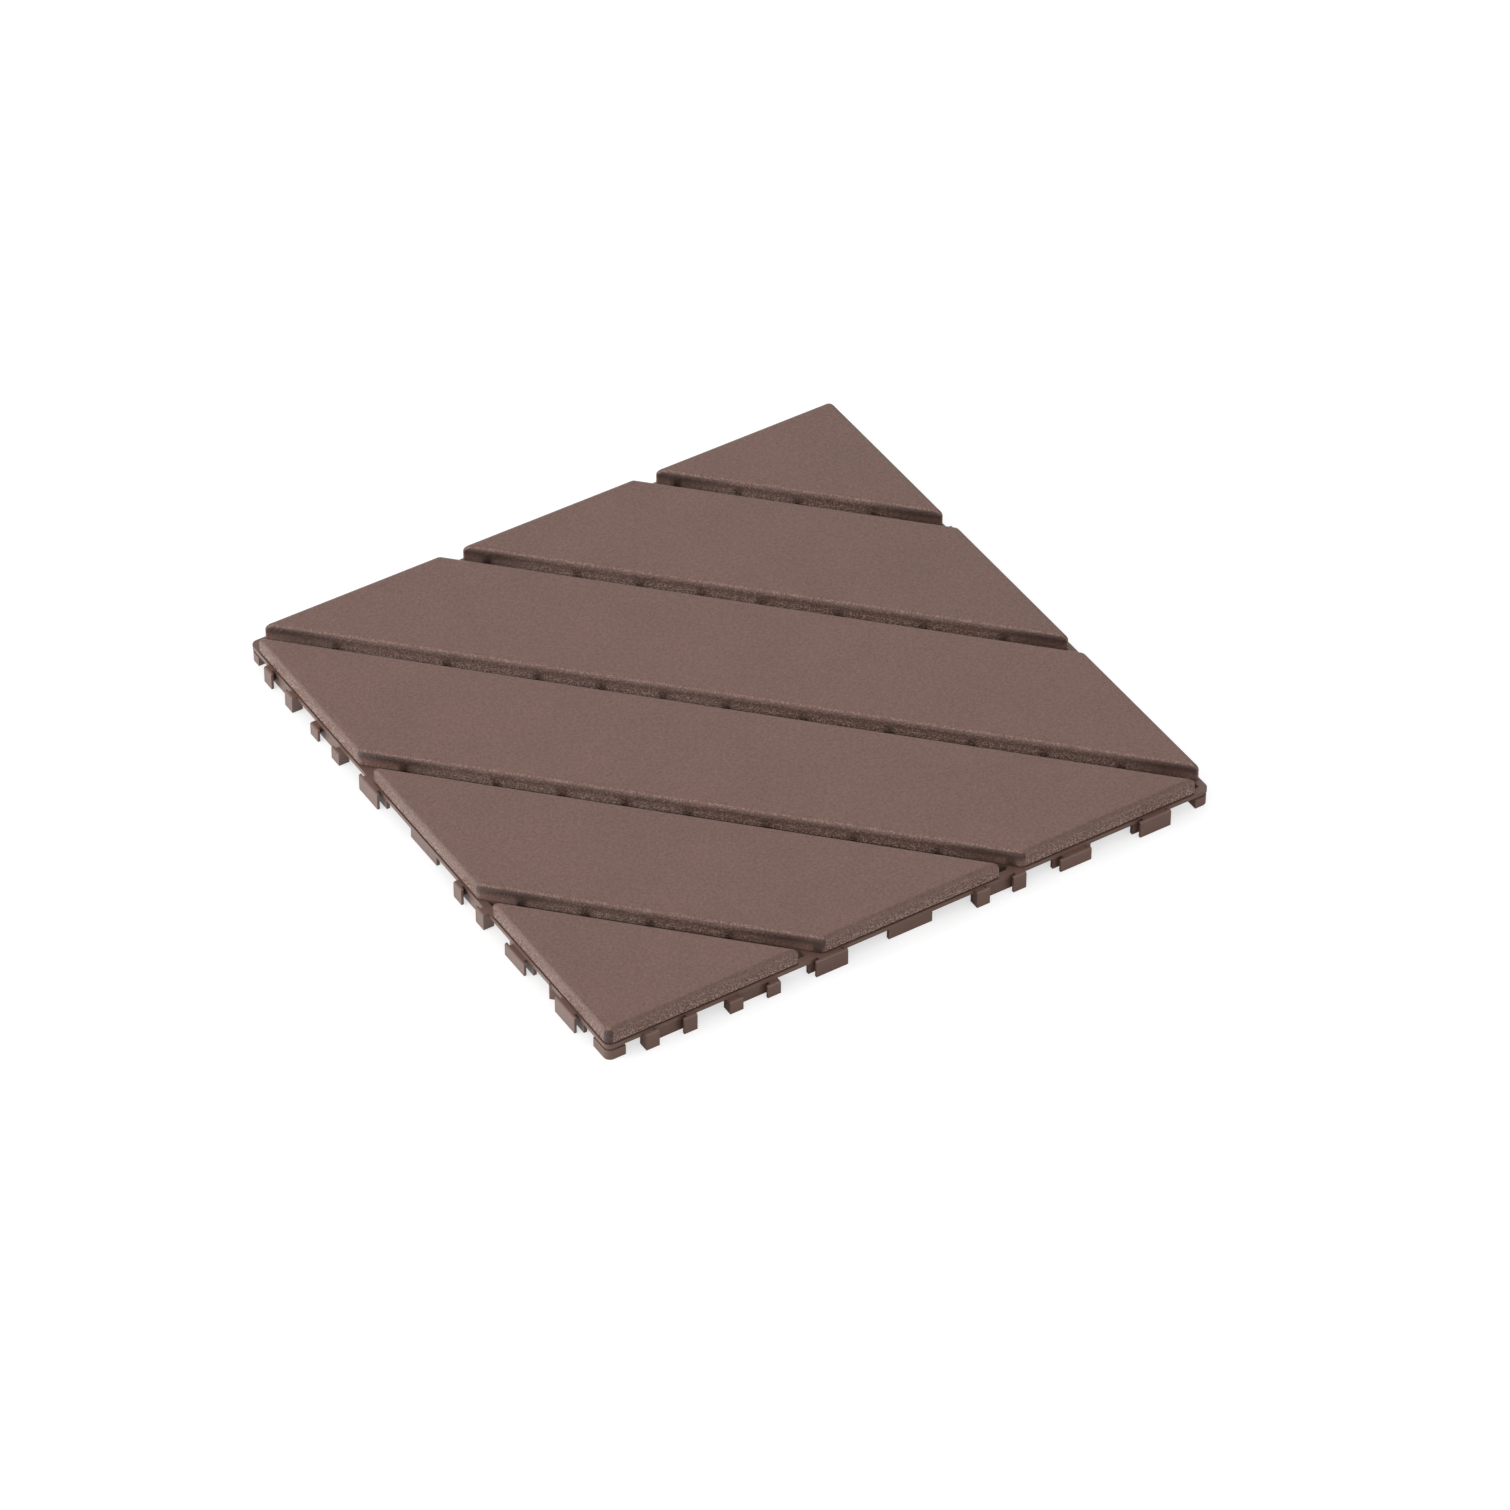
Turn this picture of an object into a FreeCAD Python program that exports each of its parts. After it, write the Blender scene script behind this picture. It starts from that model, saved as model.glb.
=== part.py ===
import FreeCAD, Part
import os
import Sketcher

# Square interlocking deck tile: six grained diagonal slats on a moulded base grid.
# The origin is on the ground below the middle of the tile, +Z is up, and the near
# corner of the tile is at -X -Y. Sizes are in millimetres.

DRIVING_SIZES = [
    ("tileSide", 300, "side of the base plate"),
    ("plateThick", 2, "thickness of the base plate and of all at its level"),
    ("plateRadius", 3.3, "corner radius of the base plate"),
    ("legHeight", 6.4, "ground to the underside of the plate"),
    ("bandWidth", 3.4, "width of the plate's rim"),
    ("barWidth", 3, "width of the grid bars"),
    ("barHang", 3.4, "how far the grid bars hang below the plate"),
    ("barInset", 5, "from the plate's edge in to where they start to hang"),
    ("skirtRecess", 0.85, "from the plate's edge in to the skirt's face"),
    ("skirtThick", 1.65, "wall of the skirts and corner feet"),
    ("footLead", 9.1, "length of a long corner foot on the side that it starts"),
    ("footTrail", 11.4, "length of a long corner foot on the side that it ends"),
    ("footShort", 7.15, "both sides of the feet at the ends of the middle gap"),
    ("footRecess", 0.2, "from the plate's edge in to a corner foot's face"),
    ("footTall", 5, "height of that face, with a groove between it and the plate"),
    ("midSkirt", 21.6, "length of the skirt in the middle of a side"),
    ("midSkirtPlace", 148.8, "its middle, from the start of the side"),
    ("outerPlace", 29.6, "outer bracket and outer clip, from their corners"),
    ("innerPlace", 70.2, "inner bracket and inner clip, from their corners"),
    ("middlePlace", 107.8, "last clip and last bracket, from their corners"),
    ("hookReach", 2.65, "from the plate's edge out to a hook's face"),
    ("hookThick", 1.2, "thickness of a hook's hanging plate"),
    ("hookRound", 0.8, "radius on the top edge of a hook"),
    ("lowWeb", 1.5, "thickness of the webs that sit under the plate"),
    ("bracket", 24.7, "length of a bracket over its two jaws"),
    ("jawLength", 6.4, "length of one jaw along the side"),
    ("jawWall", 1.6, "thickness of a jaw's outer end wall"),
    ("jawCover", 4.5, "length of the web that closes a jaw from above"),
    ("clip", 15.6, "length of a clip's hanging plate"),
    ("clipNeck", 11.2, "length of the web that carries it"),
    ("clipSkirt", 19.2, "length of the skirt behind a clip"),
    ("clipGusset", 12, "depth of the solid plate behind a clip"),
    ("slatInset", 0.5, "from the plate's edge in to the slats"),
    ("slatTall", 8.2, "plate to the top of a slat"),
    ("slatGap", 7, "gap between two slats"),
    ("slatRound", 2.8, "radius round the top edge of a slat"),
    ("slatTip", 1.25, "radius of a slat's sharp tips"),
    ("slatCorner", 3, "radius of a slat's other corners"),
    ("lipTall", 0.4, "height of the slit under a slat's rim"),
    ("lipInset", 0.9, "depth of that slit"),
    ("slatWall", 2.6, "wall of a slat, lip included"),
    ("slatSkin", 2.6, "thickness of a slat's top"),
    ("slatRib", 1.6, "thickness of the ribs inside a slat"),
    ("pegSide", 5, "side of a slat's square pegs"),
    ("pegLength", 5.4, "length of a peg below the slat"),
    ("pegFit", 0.1, "gap round a peg in its socket"),
    ("pegEnd", 0.4, "gap below a peg in its socket"),
    ("bossWall", 2, "wall of a socket"),
    ("lugLength", 6.6, "length of the raised lugs on the bars in the gaps"),
    ("lugTall", 1, "height of the lugs above the plate"),
]

# Grid bars that cross under the gaps, as distances from the tile's diagonal.
CROSS_BARS = [-174, -124.5, -84, -55.6, -27.8, -0.3, 34, 71.8, 107.5, 139.2, 172.7]
DRIVING_SIZES += [(f"crossBar_{number + 1}", place, "grid bar across the slats")
                  for number, place in enumerate(CROSS_BARS)]

SLAT_COUNT = 6

# Pegs of each slat, as the numbers of the grid bars that they sit over.
PEGS = {1: [5, 6], 2: [3, 8], 3: [2, 6, 10], 4: [2, 6, 10], 5: [3, 8], 6: [5, 6]}

doc = FreeCAD.newDocument("DeckTile")
sheet = doc.addObject("Spreadsheet::Sheet", "Sizes")
for row, (alias, size, meaning) in enumerate(DRIVING_SIZES, start=1):
    sheet.set(f"A{row}", meaning)
    sheet.set(f"B{row}", str(size))
    sheet.setAlias(f"B{row}", alias)
doc.recompute()

HALF = "Sizes.tileSide / 2"
PLATE_TOP = "Sizes.legHeight + Sizes.plateThick"
SOCKET_HALF = "Sizes.pegSide / 2 + Sizes.pegFit"
DIAGONAL = FreeCAD.Rotation(FreeCAD.Vector(0, 0, 1), -45)


def origin_feature(body, role):
    return [part for part in body.Origin.OriginFeatures if part.Role == role][0]


def new_body(label):
    body = doc.addObject("PartDesign::Body", label)
    body.Label = label
    return body


def new_sketch(body, name, height="0", turned=False):
    """A level sketch at a height, along the tile's sides or along its diagonals."""
    sketch = body.newObject("Sketcher::SketchObject", name)
    sketch.AttachmentSupport = (origin_feature(body, "XY_Plane"), [""])
    sketch.MapMode = "FlatFace"
    if turned:
        sketch.AttachmentOffset = FreeCAD.Placement(FreeCAD.Vector(0, 0, 0), DIAGONAL)
    sketch.setExpression("AttachmentOffset.Base.z", height)
    return sketch


def at(sketch, x, y):
    return FreeCAD.Vector(float(sketch.evalExpression(x)), float(sketch.evalExpression(y)), 0)


def hold(sketch, wanted):
    """Add constraints in one go and tie each to its expression."""
    rows = sketch.addConstraint([constraint for constraint, _ in wanted])
    for row, (_, expression) in zip(rows, wanted):
        sketch.setExpression(f"Constraints[{row}]", expression)


def outline(sketch, corners):
    """One closed outline, each corner held by an expression for its x and its y."""
    points = [at(sketch, x, y) for x, y in corners]
    lines = sketch.addGeometry([Part.LineSegment(start, end)
                                for start, end in zip(points, points[1:] + points[:1])])
    sketch.addConstraint([Sketcher.Constraint("Coincident", line, 2, following, 1)
                          for line, following in zip(lines, lines[1:] + lines[:1])])
    wanted = []
    for line, point, (x, y) in zip(lines, points, corners):
        wanted.append((Sketcher.Constraint("DistanceX", line, 1, point.x), x))
        wanted.append((Sketcher.Constraint("DistanceY", line, 1, point.y), y))
    hold(sketch, wanted)


def rectangle(sketch, west, east, south, north):
    outline(sketch, [(west, south), (east, south), (east, north), (west, north)])


def square(sketch, half):
    rectangle(sketch, f"-({half})", half, f"-({half})", half)


def block(sketch, x, y, half):
    """A square round a point."""
    rectangle(sketch, f"{x} - ({half})", f"{x} + ({half})", f"{y} - ({half})", f"{y} + ({half})")


def grow(body, kind, name, sketch, length, downward=False):
    feature = body.newObject(f"PartDesign::{kind}", name)
    feature.Profile = sketch
    feature.Reversed = downward
    feature.setExpression("Length", length)
    body.Tip = feature
    doc.recompute()
    return feature


def pad(body, name, sketch, length, downward=False):
    return grow(body, "Pad", name, sketch, length, downward)


def pocket(body, name, sketch, length, upward=True):
    """Cut from the sketch's plane; a pocket runs against its plane unless reversed."""
    before = body.Shape.Volume
    feature = grow(body, "Pocket", name, sketch, length, upward)
    if body.Shape.Volume >= before:
        raise RuntimeError(f"{name} cuts nothing")
    return feature


def round_edges(body, name, wanted, radius):
    """Round the edges of the body's shape that the test picks."""
    base = body.Tip
    edges = [f"Edge{number}" for number, edge in enumerate(base.Shape.Edges, start=1)
             if wanted(edge)]
    feature = body.newObject("PartDesign::Fillet", name)
    feature.Base = (base, edges)
    feature.setExpression("Radius", radius)
    body.Tip = feature
    doc.recompute()
    return feature


def four_sides(body, name, features):
    pattern = body.newObject("PartDesign::PolarPattern", name)
    pattern.Originals = features
    pattern.Axis = (origin_feature(body, "Z_Axis"), [""])
    pattern.Angle = 360
    pattern.Occurrences = 4
    body.Tip = pattern
    doc.recompute()
    return pattern


def repeat(body, name, features, sketch, step, count):
    """Repeat features from slat to slat."""
    pattern = body.newObject("PartDesign::LinearPattern", name)
    pattern.Originals = features
    pattern.Direction = (sketch, ["V_Axis"])
    pattern.Occurrences = count
    pattern.setExpression("Length", f"{count - 1} * {step}")
    body.Tip = pattern
    doc.recompute()
    return pattern


def value(expression):
    return float(sheet.evalExpression(expression))


def level(edge, height):
    """Whether an edge lies level at this height."""
    return abs(edge.BoundBox.ZMin - height) < 0.01 and abs(edge.BoundBox.ZMax - height) < 0.01


def upright(edge, x, y):
    """Whether an edge is a vertical one at this place."""
    ends = [vertex.Point for vertex in edge.Vertexes]
    return len(ends) == 2 and all(abs(end.x - x) < 0.01 and abs(end.y - y) < 0.01 for end in ends)


SLAT_PITCH = f"(Sizes.tileSide - 2 * Sizes.slatInset) * sqrt(2) / {SLAT_COUNT}"


def slat_middle(slat):
    """Distance from the tile's middle line to the middle of a slat."""
    return f"{(SLAT_COUNT + 1) / 2 - slat} * {SLAT_PITCH}"


# Places along a side, from the corner where it starts.
BRACKETS = {
    "outer": "Sizes.outerPlace",
    "inner": "Sizes.innerPlace",
    "middle": "Sizes.tileSide - Sizes.middlePlace",
}
CLIPS = {
    "outer": "Sizes.tileSide - Sizes.outerPlace",
    "inner": "Sizes.tileSide - Sizes.innerPlace",
    "middle": "Sizes.middlePlace",
}


def along(place):
    """Turn a place along the near side, which lies at -Y, into an x."""
    return f"{place} - {HALF}"


def outward(distance):
    """Turn a distance out from the plate's edge into a y on the near side."""
    return f"-({HALF} + {distance})"


def cell_row(body, name, south, north):
    """One row of cells between the grid bars, cut below the first gap or slat."""
    low = "Sizes.legHeight - Sizes.barHang"
    row = new_sketch(body, f"{name}Plan", low, turned=True)
    bars = [f"Sizes.crossBar_{number + 1}" for number in range(len(CROSS_BARS))]
    wests = ["-Sizes.tileSide"] + [f"{bar} + Sizes.barWidth / 2" for bar in bars]
    easts = [f"{bar} - Sizes.barWidth / 2" for bar in bars] + ["Sizes.tileSide"]
    for west, east in zip(wests, easts):
        rectangle(row, west, east, south, north)
    return row, pocket(body, name, row, "Sizes.barHang + Sizes.plateThick")


def grid_body():
    """The open grid: a slab with rows of cells cut between the bars. A bar runs along
    each edge of every slat, and another below its middle."""
    body = new_body("OpenGrid")
    low = "Sizes.legHeight - Sizes.barHang"
    slab = new_sketch(body, "SlabPlan", low)
    square(slab, f"{HALF} - 0.5 * Sizes.bandWidth")
    pad(body, "Slab", slab, "Sizes.barHang + Sizes.plateThick")

    corner = f"-{SLAT_COUNT / 2} * {SLAT_PITCH}"
    middle = slat_middle(SLAT_COUNT)
    slat_edge = f"{corner} + Sizes.slatGap / 2"
    next_edge = f"{slat_middle(SLAT_COUNT)} + {SLAT_PITCH} / 2 - Sizes.slatGap / 2"
    rows = [
        cell_row(body, "GapCells", f"{corner} - Sizes.slatGap / 2", slat_edge),
        cell_row(body, "NearCells", f"{slat_edge} + Sizes.barWidth", f"{middle} - Sizes.barWidth / 2"),
        cell_row(body, "FarCells", f"{middle} + Sizes.barWidth / 2", f"{next_edge} - Sizes.barWidth"),
    ]
    repeat(body, "Cells", [feature for _, feature in rows], rows[0][0], SLAT_PITCH, SLAT_COUNT)

    edge = new_sketch(body, "HangTrimPlan", low)
    square(edge, HALF)
    square(edge, f"{HALF} - Sizes.barInset")
    pocket(body, "HangTrim", edge, "Sizes.barHang")
    return body


def skirt_windows(body):
    """Cut the gaps between the corner feet, the skirts, the brackets and the clips."""
    walls = [(BRACKETS["outer"], "Sizes.bracket"), (BRACKETS["inner"], "Sizes.bracket"),
             (CLIPS["middle"], "Sizes.clipSkirt"), ("Sizes.midSkirtPlace", "Sizes.midSkirt"),
             (BRACKETS["middle"], "Sizes.bracket"), (CLIPS["inner"], "Sizes.clipSkirt"),
             (CLIPS["outer"], "Sizes.clipSkirt")]
    starts = ["Sizes.footLead"] + [f"{place} + {length} / 2" for place, length in walls]
    ends = [f"{place} - {length} / 2" for place, length in walls] + ["Sizes.tileSide - Sizes.footTrail"]
    plan = new_sketch(body, "SkirtWindowPlan")
    for start, end in zip(starts, ends):
        rectangle(plan, along(start), along(end), outward("1"),
                  outward("-(Sizes.skirtRecess + 1.5 * Sizes.skirtThick)"))
    return pocket(body, "SkirtWindows", plan, "Sizes.legHeight")


def jaw_outline(plan, place, hand):
    """An L in plan: the end wall out from the skirt, and the tip that turns inward."""
    end = f"{place} + {hand} * Sizes.bracket / 2"
    inside = f"{end} - {hand} * Sizes.jawWall"
    tip = f"{end} - {hand} * Sizes.jawLength"
    back = outward("-(Sizes.skirtRecess + Sizes.skirtThick)")
    pocket_side = outward("Sizes.hookReach - Sizes.hookThick")
    front = outward("Sizes.hookReach")
    outline(plan, [(along(end), back), (along(end), front), (along(tip), front),
                   (along(tip), pocket_side), (along(inside), pocket_side), (along(inside), back)])


def hanging_hooks(body, name, brackets, clips, height):
    """The jaws and the clips' outer plates, from the ground up to their webs."""
    plan = new_sketch(body, f"{name}Plan")
    for place in brackets:
        jaw_outline(plan, place, -1)
        jaw_outline(plan, place, 1)
    for place in clips:
        rectangle(plan, along(f"{place} - Sizes.clip / 2"), along(f"{place} + Sizes.clip / 2"),
                  outward("Sizes.hookReach"), outward("Sizes.hookReach - Sizes.hookThick"))
    return pad(body, name, plan, height)


def hook_webs(body, name, brackets, clips, height, thick):
    """The level webs that join jaws and clips to the edge of the tile."""
    plan = new_sketch(body, f"{name}Plan", height)
    back = outward("-(Sizes.skirtRecess + 0.5 * Sizes.skirtThick)")
    front = outward("Sizes.hookReach - 0.5 * Sizes.hookThick")
    for place in brackets:
        for hand in (-1, 1):
            end = f"{place} + {hand} * (Sizes.bracket - Sizes.jawWall) / 2"
            cover = f"{place} + {hand} * (Sizes.bracket / 2 - Sizes.jawCover)"
            rectangle(plan, along(end), along(cover), front, back)
    for place in clips:
        rectangle(plan, along(f"{place} - Sizes.clipNeck / 2"), along(f"{place} + Sizes.clipNeck / 2"),
                  front, back)
    return pad(body, name, plan, thick)


def edge_hooks(body):
    """Brackets and clips of the near side. The inner pair sits under the plate and
    clicks below the neighbour's edge, the others stand level with the plate."""
    level_brackets = [BRACKETS["outer"], BRACKETS["middle"]]
    level_clips = [CLIPS["outer"], CLIPS["middle"]]
    low_brackets = [BRACKETS["inner"]]
    low_clips = [CLIPS["inner"]]
    gussets = new_sketch(body, "ClipGussetPlan", "Sizes.legHeight")
    for place in CLIPS.values():
        rectangle(gussets, along(f"{place} - Sizes.clipSkirt / 2"), along(f"{place} + Sizes.clipSkirt / 2"),
                  outward("-0.5 * Sizes.bandWidth"), outward("-Sizes.clipGusset"))
    return [
        skirt_windows(body),
        pad(body, "ClipGussets", gussets, "Sizes.plateThick"),
        hanging_hooks(body, "LevelHooks", level_brackets, level_clips, PLATE_TOP),
        hanging_hooks(body, "LowHooks", low_brackets, low_clips, "Sizes.legHeight"),
        hook_webs(body, "LevelWebs", level_brackets, level_clips, "Sizes.legHeight", "Sizes.plateThick"),
        hook_webs(body, "LowWebs", low_brackets, low_clips, "Sizes.legHeight - Sizes.lowWeb", "Sizes.lowWeb"),
    ]


def peg_places():
    for slat, bars in PEGS.items():
        for bar in bars:
            yield slat, f"Sizes.crossBar_{bar}", slat_middle(slat)


def corner_edges(*places):
    """A test for the upright edges at the four corners of squares of these halves."""
    return lambda edge: any(upright(edge, x * place, y * place)
                            for place in places for x in (-1, 1) for y in (-1, 1))


def long_foot(plan, hand, recess):
    """An L in plan: a foot at the near corner of the tile or at the far one."""
    outer = f"{hand} * ({HALF} - {recess})"
    inner = f"{hand} * ({HALF} - Sizes.skirtRecess - Sizes.skirtThick)"
    lead = f"{hand} * ({HALF} - Sizes.footLead)"
    trail = f"{hand} * ({HALF} - Sizes.footTrail)"
    outline(plan, [(outer, outer), (lead, outer), (lead, inner), (inner, inner), (inner, trail), (outer, trail)])


def short_foot(plan, hand, recess):
    """A box in plan, open below: a foot at one end of the middle gap."""
    far = f"({HALF} - {recess})"
    near = f"({HALF} - Sizes.footShort)"
    inside_far = f"({HALF} - Sizes.skirtRecess - Sizes.skirtThick)"
    inside_near = f"({near} + Sizes.skirtThick)"
    for low, high in ((near, far), (inside_near, inside_far)):
        outline(plan, [(f"{hand} * {x}", f"{-hand} * {y}")
                       for x, y in ((low, high), (high, high), (high, low), (low, low))])


def trim_short_feet(body):
    """Shorten the walls of the feet at the ends of the middle gap."""
    near = f"({HALF} - Sizes.footShort)"
    deep = f"({HALF} - Sizes.skirtRecess - 1.5 * Sizes.skirtThick)"
    clear = f"({HALF} + 1)"
    plan = new_sketch(body, "ShortFootTrimPlan")
    for hand in (-1, 1):
        lead = f"({HALF} - Sizes.footLead)"
        trail = f"({HALF} - Sizes.footTrail)"
        outline(plan, [(f"{hand} * {x}", f"{-hand} * {y}")
                       for x, y in ((deep, lead), (clear, lead), (clear, near), (deep, near))])
        outline(plan, [(f"{hand} * {x}", f"{-hand} * {y}")
                       for x, y in ((trail, clear), (near, clear), (near, deep), (trail, deep))])
    pocket(body, "ShortFootTrim", plan, "Sizes.legHeight")


def edge_body():
    """All round the grid: the rim, the skirts with their feet, and the hooks."""
    body = new_body("Edge")
    face = f"{HALF} - Sizes.skirtRecess"
    back = f"{face} - Sizes.skirtThick"
    skirt = new_sketch(body, "SkirtPlan")
    square(skirt, face)
    square(skirt, back)
    pad(body, "Skirt", skirt, "Sizes.legHeight")
    boxes = new_sketch(body, "FootBoxPlan")
    for hand in (-1, 1):
        short_foot(boxes, hand, "Sizes.skirtRecess")
    pad(body, "FootBoxes", boxes, "Sizes.legHeight")
    foot_round = "Sizes.plateRadius - Sizes.skirtRecess"
    round_edges(body, "FootCorners", corner_edges(value(face)), foot_round)
    round_edges(body, "FootInside", corner_edges(value(back)), f"{foot_round} - Sizes.skirtThick")

    rim = new_sketch(body, "RimPlan", "Sizes.legHeight")
    square(rim, HALF)
    square(rim, f"{HALF} - Sizes.bandWidth")
    pad(body, "Rim", rim, "Sizes.plateThick")
    round_edges(body, "RimCorners", corner_edges(value(HALF)), "Sizes.plateRadius")
    four_sides(body, "Sides", edge_hooks(body))

    tip = value(f"{HALF} + Sizes.hookReach")
    levels = [value(PLATE_TOP), value("Sizes.legHeight")]
    round_edges(body, "HookEdges",
                lambda edge: any(level(edge, height) for height in levels)
                and max(abs(edge.CenterOfMass.x), abs(edge.CenterOfMass.y)) > tip - 0.01,
                "Sizes.hookRound")

    trim_short_feet(body)
    faces = new_sketch(body, "FootFacePlan")
    for hand in (-1, 1):
        long_foot(faces, hand, "Sizes.footRecess")
        short_foot(faces, hand, "Sizes.footRecess")
    pad(body, "FootFaces", faces, "Sizes.footTall")
    round_edges(body, "FaceCorners", corner_edges(value(f"{HALF} - Sizes.footRecess")),
                "Sizes.plateRadius - Sizes.footRecess")
    return body


def boss_body():
    """Sockets for the pegs, and lugs on the bars where they cross a gap."""
    body = new_body("Bosses")
    plan = new_sketch(body, "BossPlan", turned=True)
    for _, across, lengthways in peg_places():
        block(plan, across, lengthways, f"{SOCKET_HALF} + Sizes.bossWall")
    pad(body, "BossPad", plan, PLATE_TOP)
    half_lug = "Sizes.lugLength / 2"
    for gap in range(1, SLAT_COUNT):
        lugs = new_sketch(body, f"Lug{gap}Plan", "Sizes.legHeight", turned=True)
        middle = f"{SLAT_COUNT / 2 - gap} * {SLAT_PITCH}"
        for number in range(len(CROSS_BARS)):
            bar = f"Sizes.crossBar_{number + 1}"
            if value(f"({HALF} - Sizes.bandWidth) * sqrt(2) - abs({bar}) - abs({middle})") > 0:
                rectangle(lugs, f"{bar} - Sizes.barWidth / 2", f"{bar} + Sizes.barWidth / 2",
                          f"{middle} - {half_lug}", f"{middle} + {half_lug}")
        pad(body, f"Lugs{gap}", lugs, "Sizes.plateThick + Sizes.lugTall")
    return body


def socket_body():
    body = new_body("Sockets")
    depth = "(Sizes.pegLength + Sizes.pegEnd)"
    plan = new_sketch(body, "SocketPlan", f"{PLATE_TOP} - {depth}", turned=True)
    for _, across, lengthways in peg_places():
        block(plan, across, lengthways, SOCKET_HALF)
    pad(body, "SocketPad", plan, f"1.5 * {depth}")
    return body


def base_grid():
    """Grid, edge and bosses moulded in one, with the sockets left open."""
    parts = [grid_body(), edge_body(), boss_body()]
    sockets = socket_body()
    whole = doc.addObject("Part::MultiFuse", "Moulding")
    whole.Shapes = parts
    whole.Refine = False
    base = doc.addObject("Part::Cut", "base_grid")
    base.Label = "base_grid"
    base.Base = whole
    base.Tool = sockets
    base.Refine = True
    return base


def slat_corners(slat, inset):
    """Corners of a slat in plan, drawn in by an inset. Sharp tips come first and last."""
    side = f"({HALF} - Sizes.slatInset - {inset})"
    third = "(Sizes.tileSide - 2 * Sizes.slatInset) / 3"
    margin = f"sqrt(2) * (Sizes.slatGap / 2 + {inset})"
    hand = 1 if slat <= SLAT_COUNT / 2 else -1
    steps = SLAT_COUNT / 2 - slat if hand > 0 else slat - 1 - SLAT_COUNT / 2
    near = f"{steps} * {third} + {margin}"
    far = f"{steps + 1} * {third} - {margin}"
    corners = [(f"{near} - {side}", side), (side, f"{near} - {side}")]
    if steps + 1 < SLAT_COUNT / 2:
        corners[1:1] = [(f"{far} - {side}", side), (side, f"{far} - {side}")]
    else:
        corners[1:1] = [(side, side)]
    return [(f"{hand} * ({x})", f"{hand} * ({y})") for x, y in corners]


def slat_layer(body, name, slat, height, tall, inset):
    """A layer of a slat with its corners rounded, drawn in by an inset."""
    plan = new_sketch(body, f"{name}Plan", height)
    corners = slat_corners(slat, inset)
    outline(plan, corners)
    pad(body, name, plan, tall)
    places = [(value(x), value(y)) for x, y in corners]
    floor = value(height)

    def standing(edge, wanted):
        return edge.BoundBox.ZMin > floor - 0.01 and any(upright(edge, *place) for place in wanted)

    round_edges(body, f"{name}Tips", lambda edge: standing(edge, (places[0], places[-1])),
                f"Sizes.slatTip - {inset}")
    round_edges(body, f"{name}Corners", lambda edge: standing(edge, places[1:-1]),
                f"Sizes.slatCorner - {inset}")


def slat_body(slat):
    """One slat: a cap on a lower lip, hollow from below, with ribs and pegs inside."""
    body = new_body(f"slat_{slat}")
    slat_layer(body, "Lip", slat, PLATE_TOP, "Sizes.lipTall", "Sizes.lipInset")
    slat_layer(body, "Cap", slat, f"{PLATE_TOP} + Sizes.lipTall", "Sizes.slatTall - Sizes.lipTall", "0")
    roof = value(f"{PLATE_TOP} + Sizes.slatTall")
    round_edges(body, "TopEdge", lambda edge: level(edge, roof), "Sizes.slatRound")
    hollow = new_sketch(body, "HollowPlan", PLATE_TOP)
    outline(hollow, slat_corners(slat, "Sizes.slatWall"))
    pocket(body, "Hollow", hollow, "Sizes.slatTall - Sizes.slatSkin")

    depth = "Sizes.slatTall - 0.5 * Sizes.slatSkin"
    diagonal = f"({HALF} - Sizes.slatInset) * sqrt(2)"
    clear = "0.75 * Sizes.slatWall"
    half_rib = "Sizes.slatRib / 2"
    ribs = new_sketch(body, "RibPlan", PLATE_TOP, turned=True)
    middle = slat_middle(slat)
    end = f"{diagonal} - abs({middle}) - {clear} * sqrt(2) - {half_rib}"
    rectangle(ribs, f"-({end})", end, f"{middle} - {half_rib}", f"{middle} + {half_rib}")
    pad(body, "LongRib", ribs, depth)

    low = f"{SLAT_COUNT / 2 - slat} * {diagonal} * 2 / {SLAT_COUNT} + Sizes.slatGap / 2 + {clear}"
    high = f"{SLAT_COUNT / 2 + 1 - slat} * {diagonal} * 2 / {SLAT_COUNT} - Sizes.slatGap / 2 - {clear}"
    across = new_sketch(body, "CrossRibPlan", PLATE_TOP, turned=True)
    for number in range(1, len(CROSS_BARS), 2):
        place = f"Sizes.crossBar_{number + 1}"
        reach = f"({diagonal} - abs({place}) - {clear} * sqrt(2) - {half_rib})"
        south = f"max(-{reach}; {low})"
        north = f"min({reach}; {high})"
        if value(f"{north} - {south}") > value("4 * Sizes.slatWall"):
            rectangle(across, f"{place} - {half_rib}", f"{place} + {half_rib}", south, north)
    pad(body, "CrossRibs", across, depth)

    roots = new_sketch(body, "PegPlan", f"{PLATE_TOP} - Sizes.pegLength", turned=True)
    for owner, x, y in peg_places():
        if owner == slat:
            block(roots, x, y, "Sizes.pegSide / 2")
    pad(body, "Pegs", roots, f"Sizes.pegLength + {depth}")
    return body


slats = [slat_body(slat) for slat in range(1, SLAT_COUNT + 1)]
pieces = [base_grid()] + slats
doc.recompute()

for item in doc.Objects:
    if "Invalid" in item.State or "Error" in item.State:
        raise RuntimeError(f"{item.Name} failed: {item.State}")
for piece in pieces:
    if piece.Shape.isNull() or not piece.Shape.isValid() or len(piece.Shape.Solids) != 1:
        raise RuntimeError(f"{piece.Label} has no valid single solid")

os.makedirs("parts", exist_ok=True)
for piece in pieces:
    piece.Shape.exportStep(f"parts/{piece.Label}.step")
    print(piece.Label, round(piece.Shape.Volume), len(piece.Shape.Faces))
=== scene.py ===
import math

import bpy
from mathutils import Matrix, Vector

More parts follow.
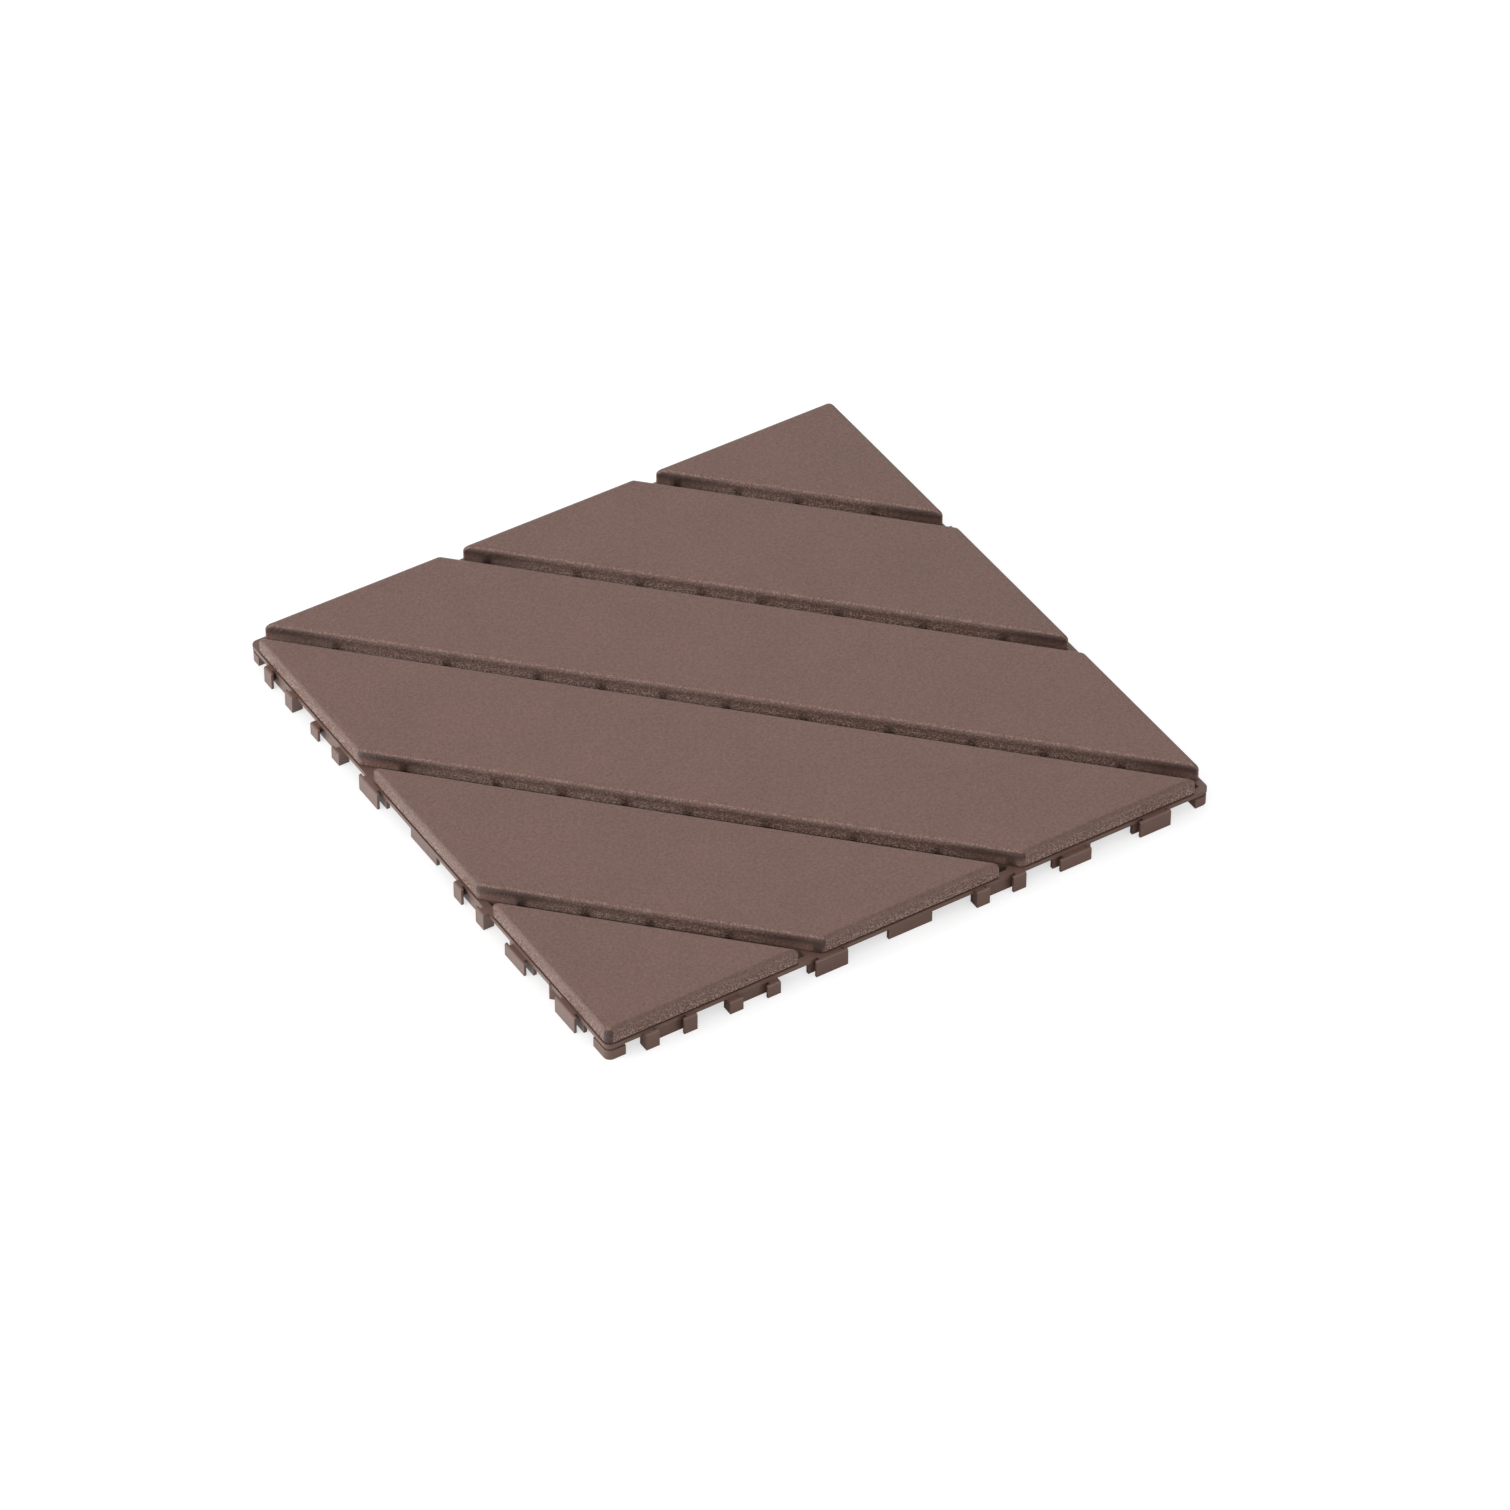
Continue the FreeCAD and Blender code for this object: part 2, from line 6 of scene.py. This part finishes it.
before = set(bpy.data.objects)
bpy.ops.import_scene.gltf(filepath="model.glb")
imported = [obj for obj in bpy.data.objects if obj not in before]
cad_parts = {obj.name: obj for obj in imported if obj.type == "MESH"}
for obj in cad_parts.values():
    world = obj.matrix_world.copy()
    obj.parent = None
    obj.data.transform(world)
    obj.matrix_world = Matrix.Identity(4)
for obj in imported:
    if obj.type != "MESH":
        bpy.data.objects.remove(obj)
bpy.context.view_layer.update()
print("frame loaded")


# helpers

def toLinear(hexColour):
    # sRGB hex as a designer writes it, turned to the linear values that the shaders want
    channels = [int(hexColour[i:i + 2], 16) / 255 for i in (1, 3, 5)]
    linear = [c / 12.92 if c <= 0.04045 else ((c + 0.055) / 1.055) ** 2.4 for c in channels]
    return linear + [1.0]


def perMetre(millimetres):
    # pattern scale for a feature of this real size
    return 1000.0 / millimetres


def metres(millimetres):
    if isinstance(millimetres, tuple):
        return tuple(one / 1000 for one in millimetres)
    return millimetres / 1000


def newMaterial(name):
    material = bpy.data.materials.new(name)
    material.use_nodes = True
    material.node_tree.nodes.clear()
    return material


def addNode(material, kind, settings=None, values=None, links=None):
    # settings are the node's own options, values its sockets, links what feeds its sockets
    node = material.node_tree.nodes.new(kind)
    for name, setting in (settings or {}).items():
        setattr(node, name, setting)
    for name, value in (values or {}).items():
        node.inputs[name].default_value = value
    for name, source in (links or {}).items():
        material.node_tree.links.new(source, node.inputs[name])
    return node


def shadeTools(material):
    # three short ways to add a node, each of which gives the node's output

    def maths(operation, first, second=0.0):
        node = addNode(material, "ShaderNodeMath", {"operation": operation})
        for socket, term in zip(node.inputs, (first, second)):
            if isinstance(term, float):
                socket.default_value = term
            else:
                material.node_tree.links.new(term, socket)
        return node.outputs["Value"]

    def between(value, span, to=(0.0, 1.0), interpolation="SMOOTHSTEP"):
        node = addNode(material, "ShaderNodeMapRange", {"interpolation_type": interpolation},
                       {"From Min": span[0], "From Max": span[1], "To Min": to[0], "To Max": to[1]},
                       {"Value": value})
        return node.outputs["Result"]

    def mixed(first, colour, amount):
        node = addNode(material, "ShaderNodeMix", {"data_type": "RGBA"}, {}, {"Factor": amount})
        material.node_tree.links.new(first, node.inputs[6])       # the node's first colour
        node.inputs[7].default_value = toLinear(colour)           # and its second
        return node.outputs[2]

    return maths, between, mixed


def addRamp(material, amount, span, lowColour, highColour):
    ramp = addNode(material, "ShaderNodeValToRGB", {}, {}, {"Fac": amount})
    for stop, position, colour in zip(ramp.color_ramp.elements, span, (lowColour, highColour)):
        stop.position = position
        stop.color = toLinear(colour)
    return ramp.outputs["Color"]


def giveMaterial(piece, material):
    piece.data.materials.clear()
    piece.data.materials.append(material)
    for face in piece.data.polygons:
        face.material_index = 0


# polypropylene, injection moulded in a spark-eroded mould: brown, pebbled and matt

grainLook = {
    "paleColour": "#7A5E55",      # dyed plastic where the grain stands up
    "deepColour": "#684C43",      # the hollows between
    "glintColour": "#B09A90",     # painted highlight: the pebbles' tips paler and greyer, as where they catch the light
    "slitColour": "#1C110D",      # painted shade in the slit under the rim, where no light gets in
    "pebble": 0.72,               # mm, coarser than the real 0.4 so that it shows
    "pebbleBlur": 0.35,
    "grit": 1.8,                  # pebbles to one patch of pale or deep colour
    "gritSpan": (0.32, 0.68),     # of the noise, from all deep to all pale
    "gritRelief": 0.7,            # against the pebbles' own
    "topDepth": 0.13,             # mm, on the flat tops, where shoes polish it
    "wallDepth": 0.24,            # mm, on walls and rounded edges
    "flow": 26.0,                 # mm, faint clouds left by the melt's flow
    "flowShade": 0.04,
    "noiseSpan": (0.3, 0.7),      # what the noises mostly keep within
    "roughness": 0.44,
    "roughSpread": 0.06,
    "ior": 1.49,
    "sheen": 0.42,

    # flecks of painted highlight, as a share of full cover
    "topFlecks": 0.05,
    "wallFlecks": 0.75,           # at the foot of a wall
    "headFlecks": 0.45,           # how much of that is left at its head
    "edgeFlecks": 0.36,           # painted highlight along the crests of the gaps
    "mouthFlecks": 0.2,           # how much is left where a gap opens at the side
    "fleckSpan": (0.48, 0.68),    # from a pebble's flank to its tip
    "wallSpan": (15.0, 9.5),      # mm above the ground, head and foot of a wall

    # how level a face is: 1 on a flat top, 0 on an upright wall
    "steep": (0.92, 0.3),
    "roundBegins": (0.985, 0.9),
    "roundEnds": (0.25, 0.55),
    "edgeBegins": (0.96, 0.9),
    "edgeEnds": (0.6, 0.72),
    "gapWall": (0.84, 0.52),
    "towardsGap": (0.05, 0.25),   # how much more a face looks across the gaps than along a side

    # how much deeper or paler the colour is, as painted light and shade
    "roundShade": 0.16,           # painted shade on the rounded outer edges
    "gapPaintedTones": (0.40, -0.24),    # painted light at the foot of a gap's wall, painted shade at its head
    "gapSpan": (10.6, 14.2),      # mm above the ground, that foot and head
    "barShade": 0.70,             # painted shade on the wall behind each bar of the grid
    "barReach": (3.6, 0.8),       # mm from the bar's middle, where that begins and is full
    "barSpan": (14.5, 10.2),      # mm above the ground, likewise
    "barPlaces": (-174.0, -124.5, -84.0, -55.6, -27.8, -0.3,
                  34.0, 71.8, 107.5, 139.2, 172.7),              # mm along a gap
    "mouthShade": 0.34,           # painted shade where a gap opens at the side
    "mouthSpan": (118.0, 142.0),  # mm from the middle of the tile, likewise

    "slitTop": 9.1,               # mm above the ground, over the real slit so that the painted shade shows
    "slitBlur": 0.1,              # mm
    "slitInGap": 0.3,             # the slit hardly shows inside a gap
}


def grainedPolypropylene(look):
    material = newMaterial("grainedPolypropylene")
    maths, between, mixed = shadeTools(material)

    # which part of a slat this is
    coordinates = addNode(material, "ShaderNodeTexCoord")
    where = coordinates.outputs["Object"]
    place = addNode(material, "ShaderNodeSeparateXYZ", {}, {}, {"Vector": where}).outputs
    facing = addNode(material, "ShaderNodeSeparateXYZ", {}, {},
                     {"Vector": coordinates.outputs["Normal"]}).outputs
    level = maths("ABSOLUTE", facing["Z"])
    steep = between(level, look["steep"])
    acrossGaps = maths("ABSOLUTE", maths("ADD", facing["X"], facing["Y"]))
    alongGaps = maths("ABSOLUTE", maths("SUBTRACT", facing["X"], facing["Y"]))
    towardsGap = between(maths("SUBTRACT", acrossGaps, alongGaps), look["towardsGap"])
    gapWall = maths("MULTIPLY", towardsGap, between(level, look["gapWall"]))
    gapEdge = maths("MULTIPLY", between(level, look["edgeBegins"]), between(level, look["edgeEnds"]))
    gapEdge = maths("MULTIPLY", gapEdge, towardsGap)
    outerRound = maths("MULTIPLY", between(level, look["roundBegins"]),
                       between(level, look["roundEnds"]))
    outerRound = maths("MULTIPLY", outerRound, maths("SUBTRACT", 1.0, towardsGap))

    # painted light and shade on the walls of the gaps
    lengthways = maths("MULTIPLY", maths("SUBTRACT", place["X"], place["Y"]), math.sqrt(0.5))
    atBar = 0.0
    for bar in look["barPlaces"]:
        away = maths("ABSOLUTE", maths("SUBTRACT", lengthways, metres(bar)))
        atBar = maths("ADD", between(away, metres(look["barReach"])), atBar)
    atBar = maths("MULTIPLY", maths("MULTIPLY", atBar, gapWall),
                  between(place["Z"], metres(look["barSpan"])))
    outwards = maths("MAXIMUM", maths("ABSOLUTE", place["X"]), maths("ABSOLUTE", place["Y"]))
    atMouth = maths("MULTIPLY", between(outwards, metres(look["mouthSpan"])), gapWall)
    paintedGapTone = maths("MULTIPLY", gapWall,
                    between(place["Z"], metres(look["gapSpan"]), look["gapPaintedTones"]))
    paintedGapTone = maths("SUBTRACT", paintedGapTone, maths("MULTIPLY", atBar, look["barShade"]))
    paintedGapTone = maths("SUBTRACT", paintedGapTone, maths("MULTIPLY", atMouth, look["mouthShade"]))

    # patterns
    pebbles = addNode(material, "ShaderNodeTexVoronoi", {"feature": "SMOOTH_F1"},
                      {"Scale": perMetre(look["pebble"]), "Smoothness": look["pebbleBlur"],
                       "Randomness": 1.0}, {"Vector": where}).outputs["Distance"]
    grit = addNode(material, "ShaderNodeTexNoise", {},
                   {"Scale": perMetre(look["pebble"] * look["grit"]), "Detail": 3.0,
                    "Roughness": 0.6}, {"Vector": where}).outputs["Fac"]
    flow = addNode(material, "ShaderNodeTexNoise", {},
                   {"Scale": perMetre(look["flow"]), "Detail": 4.0, "Roughness": 0.55},
                   {"Vector": where}).outputs["Fac"]

    # painted highlight on the tips of the pebbles
    headToFoot = between(place["Z"], metres(look["wallSpan"]))
    wallFlecks = maths("MULTIPLY", between(headToFoot, (0.0, 1.0), (look["headFlecks"], 1.0)),
                       look["wallFlecks"])
    wallFlecks = maths("MULTIPLY", wallFlecks, steep)
    wallFlecks = maths("MULTIPLY", wallFlecks,
                       between(atMouth, (0.0, 1.0), (1.0, look["mouthFlecks"]), "LINEAR"))
    edgeFlecks = maths("MULTIPLY", gapEdge, look["edgeFlecks"])
    flecks = maths("MAXIMUM", maths("MAXIMUM", wallFlecks, edgeFlecks), look["topFlecks"])
    glinting = maths("MULTIPLY", flecks, between(pebbles, look["fleckSpan"]))

    # colour
    dyed = addRamp(material, grit, look["gritSpan"], look["deepColour"], look["paleColour"])
    clouds = between(flow, look["noiseSpan"], (1 - look["flowShade"], 1 + look["flowShade"]),
                     "LINEAR")
    # painted light and shade of the gaps and of the rounded outer edges, over the random clouds
    tone = maths("SUBTRACT", maths("ADD", clouds, paintedGapTone),
                 maths("MULTIPLY", outerRound, look["roundShade"]))
    # the dyed colour with the painted highlight mixed in, toned by the painted light and shade
    tinted = addNode(material, "ShaderNodeHueSaturation", {}, {},
                     {"Color": mixed(dyed, look["glintColour"], glinting), "Value": tone})
    # painted shade in the slit under the rim
    slitSpan = (look["slitTop"] + look["slitBlur"], look["slitTop"] - look["slitBlur"])
    slit = maths("MULTIPLY", between(place["Z"], metres(slitSpan)),
                 between(towardsGap, (0.0, 1.0), (1.0, look["slitInGap"]), "LINEAR"))
    colour = mixed(tinted.outputs["Color"], look["slitColour"], slit)

    # gloss and relief
    roughSpan = (look["roughness"] - look["roughSpread"], look["roughness"] + look["roughSpread"])
    rough = between(grit, look["noiseSpan"], roughSpan, "LINEAR")
    depth = between(steep, (0.0, 1.0), metres((look["topDepth"], look["wallDepth"])), "LINEAR")
    relief = maths("ADD", pebbles, maths("MULTIPLY", grit, look["gritRelief"]))
    bump = addNode(material, "ShaderNodeBump", {}, {"Strength": 1.0},
                   {"Height": relief, "Distance": depth})
    shader = addNode(material, "ShaderNodeBsdfPrincipled", {},
                     {"IOR": look["ior"], "Specular IOR Level": look["sheen"]},
                     {"Base Color": colour, "Roughness": rough, "Normal": bump.outputs["Normal"]})
    addNode(material, "ShaderNodeOutputMaterial", {}, {}, {"Surface": shader.outputs["BSDF"]})
    return material


# the same polypropylene from a plain machined mould: smoother, with a faint sheen

baseLook = {
    "colour": "#745A50",
    "deepColour": "#6B5148",
    "mould": 1.1,                 # mm, the soft unevenness of a machined mould
    "mouldDepth": 0.02,           # mm
    "mouldStrength": 0.6,
    "flow": 18.0,                 # mm, faint clouds left by the melt's flow
    "noiseSpan": (0.3, 0.7),      # what the noises mostly keep within
    "roughness": 0.38,
    "roughSpread": 0.05,
    "ior": 1.49,
    "lugShadeColour": "#2A1C17",       # painted shade: the lugs in the gaps sit in the dark
    "lugSpan": (8.5, 8.7),        # mm above the ground, just over the plate
}


def smoothPolypropylene(look):
    material = newMaterial("smoothPolypropylene")
    _, between, mixed = shadeTools(material)
    where = addNode(material, "ShaderNodeTexCoord").outputs["Object"]
    height = addNode(material, "ShaderNodeSeparateXYZ", {}, {}, {"Vector": where}).outputs["Z"]
    mould = addNode(material, "ShaderNodeTexNoise", {},
                    {"Scale": perMetre(look["mould"]), "Detail": 3.0, "Roughness": 0.5},
                    {"Vector": where}).outputs["Fac"]
    flow = addNode(material, "ShaderNodeTexNoise", {},
                   {"Scale": perMetre(look["flow"]), "Detail": 4.0, "Roughness": 0.6},
                   {"Vector": where}).outputs["Fac"]
    dyed = addRamp(material, flow, look["noiseSpan"], look["deepColour"], look["colour"])
    # painted shade on the lugs, which stand just over the plate
    onLug = between(height, metres(look["lugSpan"]), interpolation="LINEAR")
    colour = mixed(dyed, look["lugShadeColour"], onLug)
    roughSpan = (look["roughness"] - look["roughSpread"], look["roughness"] + look["roughSpread"])
    rough = between(mould, look["noiseSpan"], roughSpan, "LINEAR")
    bump = addNode(material, "ShaderNodeBump", {},
                   {"Strength": look["mouldStrength"], "Distance": metres(look["mouldDepth"])},
                   {"Height": mould})
    shader = addNode(material, "ShaderNodeBsdfPrincipled", {}, {"IOR": look["ior"]},
                     {"Base Color": colour, "Roughness": rough, "Normal": bump.outputs["Normal"]})
    addNode(material, "ShaderNodeOutputMaterial", {}, {}, {"Surface": shader.outputs["BSDF"]})
    return material


grained = grainedPolypropylene(grainLook)
smooth = smoothPolypropylene(baseLook)
for name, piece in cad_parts.items():
    giveMaterial(piece, grained if name.startswith("slat") else smooth)
print("materials given")


# floor and light

studio = {
    "floorReach": 6.0,            # metres from the middle
    "floorColour": "#C0C0C0",
    "floorLift": 0.62,            # seen by the camera only, so that the floor reads as white
    "worldStrength": 0.84,
    "seenStrength": 1.0,          # the world as the camera sees it, white
    "glossyGlow": 0.75,             # painted reflection: the floor by the near left side glows for glossy rays only, seen in the tile's sheen
    "glossyGlowEdge": (0.03, -0.04),    # metres, where its light begins and is full
}

lampDistance = 2.2                # metres
lampWidth = 1.2
lamps = {                         # each lamp: direction towards it, watts
    "sideLight": ((-1.00, 0.30, 0.30), 27.0),
    "fillLight": ((0.25, -1.00, 0.22), 4.5),
}


def paleFloor(look):
    material = newMaterial("paleFloor")
    maths, between, _ = shadeTools(material)
    path = addNode(material, "ShaderNodeLightPath").outputs
    where = addNode(material, "ShaderNodeTexCoord").outputs["Object"]
    place = addNode(material, "ShaderNodeSeparateXYZ", {}, {}, {"Vector": where}).outputs
    # the painted reflection: a glow on the floor by the near left side, for glossy rays only
    glossyPatch = between(maths("SUBTRACT", place["X"], place["Y"]), look["glossyGlowEdge"],
                   (0.0, look["glossyGlow"]))
    lift = maths("ADD", maths("MULTIPLY", path["Is Camera Ray"], look["floorLift"]),
                 maths("MULTIPLY", path["Is Glossy Ray"], glossyPatch))
    diffuse = addNode(material, "ShaderNodeBsdfDiffuse", {},
                      {"Color": toLinear(look["floorColour"])})
    glow = addNode(material, "ShaderNodeEmission", {}, {}, {"Strength": lift})
    both = addNode(material, "ShaderNodeAddShader", {}, {},
                   {0: diffuse.outputs["BSDF"], 1: glow.outputs["Emission"]})
    addNode(material, "ShaderNodeOutputMaterial", {}, {}, {"Surface": both.outputs["Shader"]})
    return material


def addFloor(look):
    reach = look["floorReach"]
    corners = [(-reach, -reach, 0), (reach, -reach, 0), (reach, reach, 0), (-reach, reach, 0)]
    mesh = bpy.data.meshes.new("floor")
    mesh.from_pydata(corners, [], [(0, 1, 2, 3)])
    floor = bpy.data.objects.new("floor", mesh)
    bpy.context.scene.collection.objects.link(floor)
    floor.data.materials.append(paleFloor(look))


def addWorld(look):
    world = bpy.data.worlds.new("studio")
    world.use_nodes = True
    world.node_tree.nodes.clear()
    bpy.context.scene.world = world
    light = addNode(world, "ShaderNodeBackground", {},
                    {"Color": (1, 1, 1, 1), "Strength": look["worldStrength"]})
    seen = addNode(world, "ShaderNodeBackground", {},
                   {"Color": (1, 1, 1, 1), "Strength": look["seenStrength"]})
    path = addNode(world, "ShaderNodeLightPath")
    both = addNode(world, "ShaderNodeMixShader", {}, {},
                   {0: path.outputs["Is Camera Ray"], 1: light.outputs["Background"],
                    2: seen.outputs["Background"]})
    addNode(world, "ShaderNodeOutputWorld", {}, {}, {"Surface": both.outputs["Shader"]})


def addLamp(name, direction, power):
    lamp = bpy.data.lights.new(name, "AREA")
    lamp.size = lampWidth
    lamp.energy = power
    holder = bpy.data.objects.new(name, lamp)
    towards = Vector(direction).normalized()
    holder.location = towards * lampDistance
    holder.rotation_euler = towards.to_track_quat("Z", "Y").to_euler()
    bpy.context.scene.collection.objects.link(holder)


addFloor(studio)
addWorld(studio)
for name, (direction, power) in lamps.items():
    addLamp(name, direction, power)
print("studio lit")


# camera, at the photo's viewing angle

photoView = {
    "lens": 177.07,                            # mm
    "sensor": 36.0,                            # mm
    "reach": 50.0,                             # metres
    "place": (-1.26546, -2.04224, 2.11600),    # metres
    "heading": 57.903,                         # degrees from +X towards +Y
    "down": 41.570,                            # degrees below level
    "roll": 0.041,                             # degrees
}


def addCamera(view):
    data = bpy.data.cameras.new("photoCamera")
    data.lens = view["lens"]
    data.sensor_width = view["sensor"]
    data.clip_end = view["reach"]
    camera = bpy.data.objects.new("photoCamera", data)
    heading = math.radians(view["heading"])
    down = math.radians(view["down"])
    ahead = Vector((math.cos(heading) * math.cos(down), math.sin(heading) * math.cos(down),
                    -math.sin(down)))
    right = Vector((math.sin(heading), -math.cos(heading), 0))
    up = right.cross(ahead)
    turn = Matrix((right, up, -ahead)).transposed()
    roll = Matrix.Rotation(math.radians(view["roll"]), 3, "Z")
    camera.matrix_world = Matrix.Translation(view["place"]) @ (turn @ roll).to_4x4()
    bpy.context.scene.collection.objects.link(camera)
    bpy.context.scene.camera = camera


addCamera(photoView)
bpy.context.scene.view_settings.view_transform = "Standard"
print("camera set")


print("scene built")
